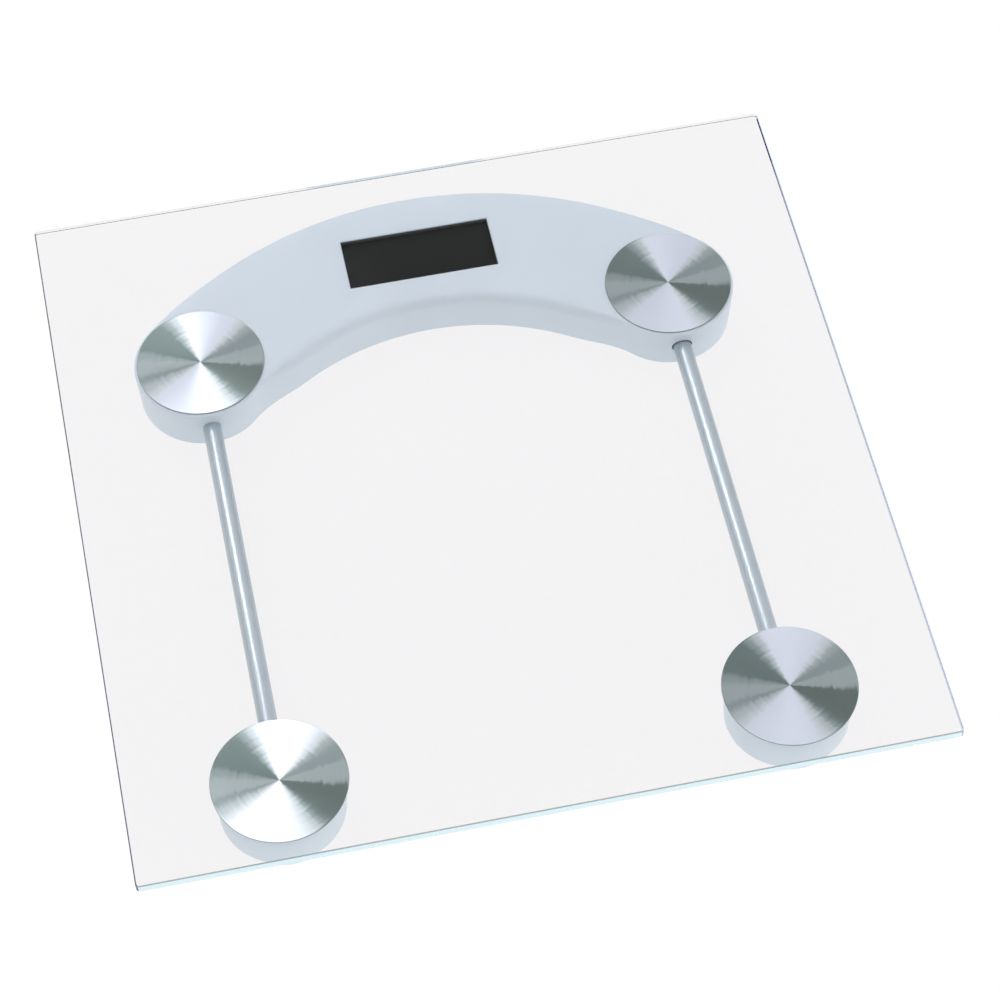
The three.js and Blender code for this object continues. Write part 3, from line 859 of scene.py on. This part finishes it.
@dataclass
class GlassPlatform:
    """The square glass plate, with painted light and painted shade on its rim, different on each side."""

    finishes: Finishes
    layout: Layout
    corner_radius: float = 1.5
    arris: float = 0.4
    corner_steps: int = 10

    def outline(self, inset: float, height: float) -> list[tuple[float, float, float]]:
        """The plate's outline drawn in by inset.

        Args:
            inset: distance inside the full size.
            height: height of the points.

        Returns:
            Points anticlockwise from the front right corner.
        """
        reach = self.layout.glass_high.x - self.corner_radius
        radius = max(self.corner_radius - inset, 0.05)
        points = []
        for quarter, (x, y) in enumerate(((1, -1), (1, 1), (-1, 1), (-1, -1))):
            for step in range(self.corner_steps + 1):
                angle = math.pi / 2 * (quarter - 1 + step / self.corner_steps)
                points.append((
                    x * reach + radius * math.cos(angle),
                    y * reach + radius * math.sin(angle),
                    height,
                ))
        return points

    def build(self) -> None:
        """Builds the plate with painted light and painted shade on its rim and arrises, by the way each face
        faces.
        """
        low, high = self.layout.glass_low.z, self.layout.glass_high.z
        rings = [
            self.outline(self.arris, low),
            self.outline(0.0, low + self.arris),
            self.outline(0.0, high - self.arris),
            self.outline(self.arris, high),
        ]
        plate = Shop.loft(rings)
        finishes = [
            self.finishes.glass, self.finishes.front_rim_painted_light, self.finishes.side_rim_painted_light,
            self.finishes.front_arris_painted_shade, self.finishes.dark_arris_painted_shade,
        ]
        for face in plate.faces:
            face.normal_update()
            face.material_index = finishes.index(self.finish_for(face.normal))
        Piece(
            "glass_plate", plate, finishes, Body.PLATFORM.value, Slot.GLASS, ["glass_platform"],
            sharp_angle=20.0,
        ).place()

    def finish_for(self, normal: Vector) -> bpy.types.Material:
        """The material of a face, by the way it faces: painted light and shade differ per side of the rim.

        Args:
            normal: the face's outward direction.

        Returns:
            Clear glass for the broad faces and the far edges, painted light and painted shade for the near
            ones.
        """
        if abs(normal.z) > 0.95 or normal.z < -0.3:
            return self.finishes.glass
        if normal.z > 0.3:
            if normal.x > 0.5:
                return self.finishes.side_rim_painted_light
            return self.finishes.front_arris_painted_shade if normal.y < -0.5 else self.finishes.dark_arris_painted_shade
        if normal.x > 0.9:
            return self.finishes.side_rim_painted_light
        if normal.y < -0.9:
            return self.finishes.front_rim_painted_light
        return self.finishes.dark_arris_painted_shade if normal.y < -0.3 else self.finishes.glass


@dataclass
class SpunDiscs:
    """The four thin steel discs that show through the glass."""

    finishes: Finishes
    layout: Layout
    radius: float = 25.0
    clearance: float = 0.05
    edge: float = 0.12

    def build(self) -> None:
        """Builds a disc over each pad."""
        for corner in Corner:
            node = f"disc_{corner.value}"
            centre = self.layout.corner(corner)
            half = (self.layout.high(node) - self.layout.low(node)) / 2
            top = half - self.clearance
            profile = [
                (0, -half), (self.radius - self.edge, -half), (self.radius, -half + self.edge),
                (self.radius, top - self.edge), (self.radius - self.edge, top), (self.radius * 0.6, top),
                (self.radius * 0.2, top), (0, top),
            ]
            disc = Shop.revolve(profile, 128)
            for face in disc.faces:
                face.normal_update()
                # the top face gets the painted reflection wedges, the rim faces the edge steel painted dark
                face.material_index = 0 if face.normal.z > 0.9 else 1
            Piece(
                f"spun_disc_{corner.value}", disc, [self.finishes.steel_face, self.finishes.steel_rim_painted_shade],
                Body.PLATFORM.value, Slot.SPUN_STEEL, [node], tuple(centre),
            ).place()


@dataclass
class Crescent:
    """The crescent housing with the display window, and the cover under it."""

    finishes: Finishes
    layout: Layout
    half: float = 26.0
    draft: float = 0.9
    wall: float = 2.0
    rounding: float = 5.0
    cover_gap: float = 0.3
    window: Pair = (60.0, 24.0)
    window_flare: float = 0.35
    tube_hole: float = 4.05
    foot_hole: float = 13.6
    screw_hole: float = 2.6
    button_hole: float = 4.3

    def __post_init__(self) -> None:
        """Finds the band from the rear pads."""
        pad = self.layout.corner(Corner.REAR_RIGHT)
        self.band = Band(pad.x, pad.y)
        self.top = self.layout.high("display_housing")
        self.bottom = self.layout.low("display_housing")
        self.cover_bottom = self.layout.low("display_base")
        self.cover_top = self.cover_bottom + 2
        self.window_centre = self.layout.centre("lcd_panel")

    def window_cutter(self) -> bmesh.types.BMesh:
        """The window's opening, flared at its top edge."""
        cx, cy = self.window_centre.x, self.window_centre.y
        levels = [
            (0.0, self.top - self.wall - 1), (0.0, self.top - self.window_flare),
            (self.window_flare, self.top), (self.window_flare, self.top + 1),
        ]
        rings = []
        for grow, height in levels:
            half_x, half_y = self.window[0] / 2 + grow, self.window[1] / 2 + grow
            rings.append([
                (cx + sx * half_x, cy + sy * half_y, height)
                for sx, sy in ((-1, -1), (1, -1), (1, 1), (-1, 1))
            ])
        return Shop.loft(rings)

    def wall_levels(self) -> list[Level]:
        """Levels of the outer wall, with a softened foot, a small outer edge and a full inner rounding."""
        low = self.half - self.draft
        corner = [(low - 3, self.bottom), (low, self.bottom), (low + 0.1, self.bottom + 3)]
        foot = Shop.softened(corner, 0.6, 4)
        levels = [Level(half, height) for half, height in foot]
        start = self.top - self.rounding
        steps = 14
        for i in range(steps + 1):
            turn = math.pi / 2 * i / steps
            height = start + self.rounding * math.sin(turn)
            setback = self.rounding * (1 - math.cos(turn))
            lean = self.draft * (self.top - height) / (self.top - self.bottom)
            edge = 0.8 * max(0.0, 1 - (self.top - height) / 0.6) ** 2
            levels.append(Level(self.half - lean - edge, height, setback))
        return levels

    def shell(self) -> None:
        """Builds the upper shell."""
        outer = self.band.solid(self.wall_levels())
        low = self.half - self.draft - self.wall
        ceiling = self.top - self.wall
        hollow = self.band.solid([
            Level(low, self.bottom - 1),
            Level(low, self.cover_top),
            Level(self.half - self.wall - 0.2, ceiling - self.rounding + self.wall),
            Level(self.half - self.wall, ceiling, self.rounding - self.wall),
        ])
        tube_z = self.layout.centre("tube_left").z
        holes = []
        for side in Side:
            rod = Shop.along_y(Shop.revolve([(0, -4), (self.tube_hole, -4), (self.tube_hole, 3), (0, 3)], 48))
            mouth = self.band.pad_y - self.half + 1
            holes.append(Shop.shifted(rod, side.value * self.band.pad_x, mouth, tube_z))
        shell = Shop.carved(outer, [hollow, self.window_cutter(), *holes])
        centre = self.window_centre
        for face in shell.faces:
            middle = face.calc_center_median() / MM
            in_window = (
                abs(middle.x - centre.x) < self.window[0] / 2 + 0.1
                and abs(middle.y - centre.y) < self.window[1] / 2 + 0.1
                and self.top - self.wall < middle.z < self.top - self.window_flare
            )
            # the faces of the window's recess get the painted shade material
            face.material_index = 1 if in_window else 0
        Piece(
            "crescent_shell", shell, [self.finishes.silver, self.finishes.window_wall_painted_shade],
            Body.PLATFORM.value, Slot.SILVER, ["display_housing"],
        ).place()

    def cover(self) -> None:
        """Builds the cover under the shell, with its openings."""
        bottom, top = self.cover_bottom, self.cover_top
        half = self.half - self.draft - self.wall - self.cover_gap
        profile = Shop.softened([(half - 2, bottom), (half, bottom), (half, top), (half - 2, top)], 0.3)
        plate = self.band.solid([Level(reach, height) for reach, height in profile])
        below = bottom - 1
        cutters = []
        for corner in (Corner.REAR_LEFT, Corner.REAR_RIGHT):
            spot = self.layout.corner(corner)
            cutters.append(self.drill(self.foot_hole, spot.x, spot.y, below, top + 1, 0.4))
        for name in ("end_left", "end_right", "arm_left", "arm_right", "crest"):
            spot = self.layout.centre(f"screw_{name}")
            cutters.append(self.drill(self.screw_hole, spot.x, spot.y, below, top + 1, 0.3))
        button = self.layout.centre("unit_button")
        cutters.append(self.drill(self.button_hole, button.x, button.y, below, top + 1, 0.2))
        dish = Shop.revolve([(0, below), (7.6, below), (7.0, bottom + 0.3), (5.5, bottom + 0.6),
                             (0, bottom + 0.6)], 64)
        cutters.append(Shop.shifted(dish, button.x, button.y))
        bay_low, bay_high = (Vector(v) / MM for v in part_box("battery_door"))
        front = bay_low.y + 2.2
        cutters.append(Shop.block(
            (bay_low.x - self.cover_gap, front - self.cover_gap, below),
            (bay_high.x + self.cover_gap, bay_high.y + self.cover_gap, top + 1),
        ))
        dip = Shop.revolve([(0, below), (6.5, below), (6.0, bottom + 0.3), (4.5, bottom + 1.0),
                            (0, bottom + 1.0)], 64)
        cutters.append(Shop.shifted(dip, (bay_low.x + bay_high.x) / 2, bay_high.y + self.cover_gap))
        Piece(
            "crescent_cover", Shop.carved(plate, cutters), [self.finishes.grey],
            Body.PLATFORM.value, Slot.GREY, ["display_base"],
        ).place()

    @staticmethod
    def drill(radius: float, x: float, y: float, low: float, high: float, flare: float) -> bmesh.types.BMesh:
        """A round cutter whose mouth opens by flare just inside the cover's underside.

        Args:
            radius: radius of the hole.
            x: place of its axis.
            y: place of its axis.
            low: where the cutter starts, below the cover.
            high: where it ends.
            flare: how much wider the mouth is.

        Returns:
            The cutter's mesh.
        """
        mouth = low + 1
        profile = [(0, low), (radius + flare, low), (radius + flare, mouth), (radius, mouth + flare),
                   (radius, high), (0, high)]
        return Shop.shifted(Shop.revolve(profile, 64), x, y)

    def build(self) -> None:
        """Builds the shell and its cover."""
        self.shell()
        self.cover()


@dataclass
class FrontCup:
    """The round housing of a front pad, and the cover under it."""

    finishes: Finishes
    layout: Layout
    corner: Corner
    top_radius: float = 23.9
    low_radius: float = 23.2
    wall: float = 2.0
    cover_gap: float = 0.3
    foot_hole: float = 13.6
    screw_hole: float = 2.6
    tube_hole: float = 3.85

    def build(self) -> None:
        """Builds the cup and its cover."""
        name = self.corner.value
        node = f"cup_{name}"
        centre = self.layout.corner(self.corner)
        top, bottom = self.layout.high(node), self.layout.low(node)
        inner = self.low_radius - self.wall
        walls = [(inner, bottom), (self.low_radius - 0.5, bottom), (self.low_radius, bottom + 0.6),
                 (self.top_radius, top - 0.5), (self.top_radius - 0.5, top), (self.top_radius - 3, top)]
        cup = Shop.revolve([(0, bottom), *Shop.softened(walls, 0.7, 4), (0, top)], 128)
        ceiling = top - self.wall
        hollow = Shop.revolve([(0, bottom - 1), (inner, bottom - 1), (inner, ceiling), (0, ceiling)], 96)
        rod = Shop.along_y(Shop.revolve([(0, -5), (self.tube_hole, -5), (self.tube_hole, 5), (0, 5)], 48))
        hole = Shop.shifted(rod, 0, self.low_radius - 0.5, self.layout.centre("tube_left").z)
        Piece(
            f"front_cup_{name}", Shop.carved(cup, [hollow, hole]), [self.finishes.silver],
            Body.PLATFORM.value, Slot.SILVER, [node], (centre.x, centre.y, 0),
        ).place()
        radius = inner - self.cover_gap
        lid_low = self.layout.low(f"cup_base_{name}")
        lid_top = lid_low + 2
        rim = [(radius - 2, lid_low), (radius, lid_low), (radius, lid_top), (radius - 2, lid_top)]
        lid = Shop.revolve([(0, lid_low), *Shop.softened(rim, 0.3), (0, lid_top)], 96)
        cutters = [Crescent.drill(self.foot_hole, 0, 0, lid_low - 1, lid_top + 1, 0.4)]
        for side in Side:
            spot = self.layout.centre(f"screw_cup_{name}_{side.word}")
            cutters.append(Crescent.drill(
                self.screw_hole, spot.x - centre.x, spot.y - centre.y, lid_low - 1, lid_top + 1, 0.3))
        Piece(
            f"front_cover_{name}", Shop.carved(lid, cutters), [self.finishes.grey],
            Body.PLATFORM.value, Slot.GREY, [f"cup_base_{name}"], (centre.x, centre.y, 0),
        ).place()


@dataclass
class Foot:
    """A foot carrier and the rubber pad under it, which move up together as the load cell bends."""

    finishes: Finishes
    layout: Layout
    corner: Corner
    radius: float = 13.2
    flange: float = 14.3
    post: float = 4.0
    pad_radius: float = 12.8
    grooves: tuple[float, ...] = (3.0, 6.0)

    def build(self) -> None:
        """Builds the carrier and the pad."""
        name = self.corner.value
        spot = self.layout.corner(self.corner)
        low, high = self.layout.low(f"foot_{name}"), self.layout.high(f"foot_{name}")
        flange_low = low + 3.3
        body = [
            (self.radius, low), (self.radius, flange_low), (self.flange, flange_low),
            (self.flange, flange_low + 1), (self.post, flange_low + 1), (self.post, high),
        ]
        carrier = Shop.revolve([(0, low), (self.radius - 1.5, low), *Shop.softened(body, 0.3), (0, high)])
        Piece(
            f"foot_carrier_{name}", carrier, [self.finishes.grey],
            self.corner.foot_body, Slot.GREY, [f"foot_{name}"], (spot.x, spot.y, 0),
        ).place()
        pad_top = self.layout.high(f"foot_pad_{name}")
        tread: list[Pair] = []
        for groove in self.grooves:
            tread += [(groove - 0.7, 0.6), (groove - 0.3, 1.0), (groove + 0.3, 1.0), (groove + 0.7, 0.6)]
        rim = [(self.pad_radius - 5, 0.6), (self.pad_radius - 4.5, 0.0), (self.pad_radius - 0.4, 0.0),
               (self.pad_radius, 0.5), (self.pad_radius, pad_top)]
        pad = Shop.revolve([(0, 0.6), *tread, *Shop.softened(rim, 0.35), (0, pad_top)])
        Piece(
            f"rubber_pad_{name}", pad, [self.finishes.rubber],
            self.corner.foot_body, Slot.RUBBER, [f"foot_pad_{name}"], (spot.x, spot.y, 0),
        ).place()


@dataclass
class Tube:
    """A chromed tube from a front cup to the crescent."""

    finishes: Finishes
    layout: Layout
    side: Side
    radius: float = 3.6
    bore: float = 2.8

    def build(self) -> None:
        """Builds the tube with rounded lips at its open ends."""
        node = f"tube_{self.side.word}"
        low, high = (Vector(v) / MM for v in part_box(node))
        half = (high.y - low.y) / 2
        bm = bmesh.new()
        profile = Shop.softened([
            (self.bore, 0.0), (self.bore, half), (self.radius, half), (self.radius, -half),
            (self.bore, -half), (self.bore, 0.0),
        ], 0.2)[:-1]
        segments = 72
        rings = []
        for radius, along in profile:
            turn = 2 * math.pi / segments
            rings.append([
                bm.verts.new((radius * MM * math.cos(turn * i), radius * MM * math.sin(turn * i), along * MM))
                for i in range(segments)
            ])
        for ring, after in zip(rings, rings[1:] + rings[:1]):
            for i in range(segments):
                j = (i + 1) % segments
                bm.faces.new((ring[i], ring[j], after[j], after[i]))
        centre = (low + high) / 2
        Piece(
            f"steel_tube_{self.side.word}", Shop.along_y(bm), [self.finishes.chrome],
            Body.PLATFORM.value, Slot.CHROME, [node], tuple(centre),
        ).place()


@dataclass
class Screw:
    """A pan-head screw with a cross recess, driven upwards."""

    finishes: Finishes
    layout: Layout
    node: str
    head: float = 2.4
    shank: float = 1.4
    head_height: float = 1.7

    def build(self) -> None:
        """Builds the screw."""
        low, high = self.layout.low(self.node), self.layout.high(self.node)
        seat = low + self.head_height
        body = [(self.head - 0.7, low), (self.head, low + 0.7), (self.head, seat), (self.shank, seat),
                (self.shank, high - 1.2), (0.3, high)]
        blank = Shop.revolve([(0, low), *Shop.softened(body, 0.3), (0, high)], 48)
        reach, half = self.head * 0.55, 0.28
        recess = [
            Shop.block((-reach, -half, low - 1), (reach, half, low + 0.9)),
            Shop.block((-half, -reach, low - 1), (half, reach, low + 0.9)),
        ]
        spot = self.layout.centre(self.node)
        Piece(
            f"{self.node}_turned", Shop.carved(blank, recess), [self.finishes.zinc],
            Body.PLATFORM.value, Slot.ZINC, [self.node], (spot.x, spot.y, 0),
        ).place()


@dataclass
class DisplayModule:
    """The liquid-crystal panel under the window."""

    finishes: Finishes
    film_inset: float = 1.0
    film_height: float = 0.25

    def build(self) -> None:
        """Builds the panel as two glasses with a polarising film on top."""
        low, high = (Vector(v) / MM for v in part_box("lcd_panel"))
        split = (low.z + high.z) / 2
        film_low = high.z - self.film_height
        inset = Vector((self.film_inset, self.film_inset, 0))
        panel = Shop.joined([
            Shop.block(low, (high.x, high.y, split - 0.02), 0.12),
            Shop.block((low.x, low.y + 2, split + 0.02), (high.x, high.y, film_low), 0.12),
            Shop.block((low + inset)[:2] + (film_low + 0.01,), (high - inset)[:2] + (high.z - 0.02,), 0.05),
        ])
        Piece(
            "display_panel", panel, [self.finishes.display], Body.PLATFORM.value, Slot.DISPLAY, ["lcd_panel"],
        ).place()


@dataclass
class BatteryDoor:
    """The door of the battery bay, with its hooks, its latch and grip ridges."""

    finishes: Finishes
    thickness: float = 1.6
    ridges: int = 4

    def build(self) -> None:
        """Builds the door."""
        low, high = (Vector(v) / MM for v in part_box("battery_door"))
        front = low.y + 2.2
        middle = (low.x + high.x) / 2
        leaf = Shop.block((low.x, front, low.z), (high.x, high.y, low.z + self.thickness), 0.3)
        grips = [
            Shop.block(
                (middle - 5, high.y - 5.5 - 1.8 * i, low.z - 0.5),
                (middle + 5, high.y - 4.9 - 1.8 * i, low.z + 0.35),
            )
            for i in range(self.ridges)
        ]
        parts = [Shop.carved(leaf, grips)]
        for shift in (-7, 7):
            x = middle + shift
            parts.append(Shop.block((x - 2.5, front, low.z + 1.3), (x + 2.5, front + 0.8, high.z), 0.15))
            hook_high = (x + 2.5, front + 0.7, high.z - 0.01)
            parts.append(Shop.block((x - 2.5, low.y, high.z - 1), hook_high, 0.15))
        latch_low = (middle - 4, high.y - 1, low.z + 1.3)
        parts.append(Shop.block(latch_low, (middle + 4, high.y - 0.02, high.z), 0.2))
        Piece(
            "bay_door", Shop.joined(parts), [self.finishes.grey],
            Body.DOOR.value, Slot.GREY, ["battery_door"],
        ).place()


@dataclass
class UnitButton:
    """The button under the crescent that changes the unit."""

    finishes: Finishes
    layout: Layout
    radius: float = 4.0
    flange: float = 5.2

    def build(self) -> None:
        """Builds the button with a dished face."""
        low, high = self.layout.low("unit_button"), self.layout.high("unit_button")
        spot = self.layout.centre("unit_button")
        skirt = high - 0.8
        body = [
            (self.radius, low), (self.radius, skirt), (self.flange, skirt),
            (self.flange, high), (self.flange - 2, high),
        ]
        face = [(0, low + 0.25), (1.5, low + 0.2), (2.8, low + 0.05), (3.2, low)]
        button = Shop.revolve([*face, *Shop.softened(body, 0.25), (0, high)], 64)
        Piece(
            "unit_push_button", button, [self.finishes.black], Body.BUTTON.value, Slot.BLACK, ["unit_button"],
            (spot.x, spot.y, 0),
        ).place()


class InnerWorks:
    """The CAD nodes that keep their shape and get their finish here."""

    def __init__(self, finishes: Finishes) -> None:
        """Pairs each kind of node with its finish.

        Args:
            finishes: the scale's materials.
        """
        self.by_prefix = {
            "load_cell_": finishes.zinc,
            "board_screw_": finishes.zinc,
            "coin_cell": finishes.zinc,
            "wire_": finishes.wire,
            "lcd_frame": finishes.black,
            "contact_strip": finishes.rubber,
            "circuit_board": finishes.board,
            "unit_switch": finishes.black,
            "battery_holder": finishes.black,
            "contact_": finishes.contact,
        }

    def build(self) -> None:
        """Gives each kept node its finish."""
        for name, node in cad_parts.items():
            for prefix, material in self.by_prefix.items():
                if name.startswith(prefix):
                    node.data.materials.clear()
                    node.data.materials.append(material)
                    LOG.info("dressed %s in %s", name, material.name)
                    break


# ------------------------------------------------------------------ studio


@dataclass(frozen=True)
class SoftLamp:
    """A rectangular lamp: its place and size in metres and its power in watts."""

    name: str
    spot: tuple[float, float, float]
    size: Pair
    power: float


@dataclass
class Studio:
    """A pale light table under a white tent, two soft lamps, and the camera."""

    layout: Layout
    zenith: Colour = (1.12, 1.14, 1.17)
    horizon: Colour = (0.54, 0.55, 0.56)
    bright_from: float = 0.7
    table_glow: float = 0.95
    table_colour: Colour = (0.06, 0.06, 0.061)
    table_size: float = 6.0
    aim: tuple[float, float] = (7.14, -17.04)
    distance: float = 1.14165
    azimuth: float = 10.812
    elevation: float = 55.911
    roll: float = -1.064
    lens: float = 108.78
    sensor: float = 36.0
    lamps: tuple[SoftLamp, ...] = (
        SoftLamp("soft_lamp", (-0.62, 1.35, 1.95), (0.22, 1.1), 7.0),
        SoftLamp("side_lamp", (2.0, -0.2, 0.5), (0.8, 0.8), 6.0),
    )

    def world(self) -> None:
        """Lights the scene from all round, dimmer near the horizon."""
        world = bpy.data.worlds.new("white_tent")
        world.use_nodes = True
        tree = world.node_tree
        heading = tree.nodes.new("ShaderNodeTexCoord")
        split = tree.nodes.new("ShaderNodeSeparateXYZ")
        ramp = tree.nodes.new("ShaderNodeValToRGB")
        ramp.color_ramp.elements[0].color = (*self.horizon, 1)
        ramp.color_ramp.elements[1].color = (*self.zenith, 1)
        ramp.color_ramp.elements[1].position = self.bright_from
        tree.links.new(heading.outputs["Generated"], split.inputs["Vector"])
        tree.links.new(split.outputs["Z"], ramp.inputs["Fac"])
        tree.links.new(ramp.outputs["Color"], tree.nodes["Background"].inputs["Color"])
        bpy.context.scene.world = world

    def table(self) -> None:
        """Lays the pale table that glows a little from below."""
        half = self.table_size / 2
        mesh = bpy.data.meshes.new("light_table")
        corners = [(-half, -half, 0), (half, -half, 0), (half, half, 0), (-half, half, 0)]
        mesh.from_pydata(corners, [], [(0, 1, 2, 3)])
        table = bpy.data.objects.new("light_table", mesh)
        table.location.z = CAD_BOX[0][2]
        paint = Paint("pale_table")
        paint.set(
            Base_Color=(*self.table_colour, 1), Roughness=1.0, Specular_IOR_Level=0.0,
            Emission_Color=(1, 1, 1, 1), Emission_Strength=self.table_glow,
        )
        mesh.materials.append(paint.material)
        bpy.context.scene.collection.objects.link(table)

    def lamp(self, lamp: SoftLamp) -> None:
        """Hangs a soft rectangular lamp that faces the scale.

        Args:
            lamp: the lamp's name, place, size and power.
        """
        light = bpy.data.lights.new(lamp.name, "AREA")
        light.shape = "RECTANGLE"
        light.size, light.size_y = lamp.size
        light.energy = lamp.power
        hung = bpy.data.objects.new(lamp.name, light)
        hung.location = lamp.spot
        hung.rotation_euler = (-Vector(lamp.spot)).to_track_quat("-Z", "Y").to_euler()
        bpy.context.scene.collection.objects.link(hung)

    def camera(self) -> None:
        """Sets the camera at the viewing angle."""
        data = bpy.data.cameras.new("view")
        data.lens = self.lens
        data.sensor_width = self.sensor
        data.clip_end = 50
        camera = bpy.data.objects.new("view", data)
        azimuth, elevation = math.radians(self.azimuth), math.radians(self.elevation)
        ahead = Vector((
            math.sin(azimuth) * math.cos(elevation),
            math.cos(azimuth) * math.cos(elevation),
            -math.sin(elevation),
        ))
        target = Vector((self.aim[0] * MM, self.aim[1] * MM, self.layout.glass_high.z * MM))
        turn = ahead.to_track_quat("-Z", "Y").to_matrix().to_4x4()
        camera.matrix_world = (
            Matrix.Translation(target - ahead * self.distance)
            @ turn
            @ Matrix.Rotation(math.radians(self.roll), 4, "Z")
        )
        bpy.context.scene.collection.objects.link(camera)
        bpy.context.scene.camera = camera

    def build(self) -> None:
        """Sets up the world, the table, the lamps and the camera."""
        self.world()
        self.table()
        for lamp in self.lamps:
            self.lamp(lamp)
        self.camera()
        bpy.context.scene.view_settings.view_transform = "Standard"


def main() -> None:
    """Builds the scale and its studio."""
    logging.basicConfig(level=logging.INFO, format="%(message)s")
    layout = Layout()
    studio = Studio(layout)
    studio.build()
    finishes = Finishes()
    GlassPlatform(finishes, layout).build()
    SpunDiscs(finishes, layout).build()
    Crescent(finishes, layout).build()
    for corner in Corner:
        if corner.is_front:
            FrontCup(finishes, layout, corner).build()
        Foot(finishes, layout, corner).build()
    for side in Side:
        Tube(finishes, layout, side).build()
    for name in sorted(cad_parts):
        if name.startswith("screw_"):
            Screw(finishes, layout, name).build()
    DisplayModule(finishes).build()
    BatteryDoor(finishes).build()
    UnitButton(finishes, layout).build()
    InnerWorks(finishes).build()


if __name__ == "__main__":
    main()
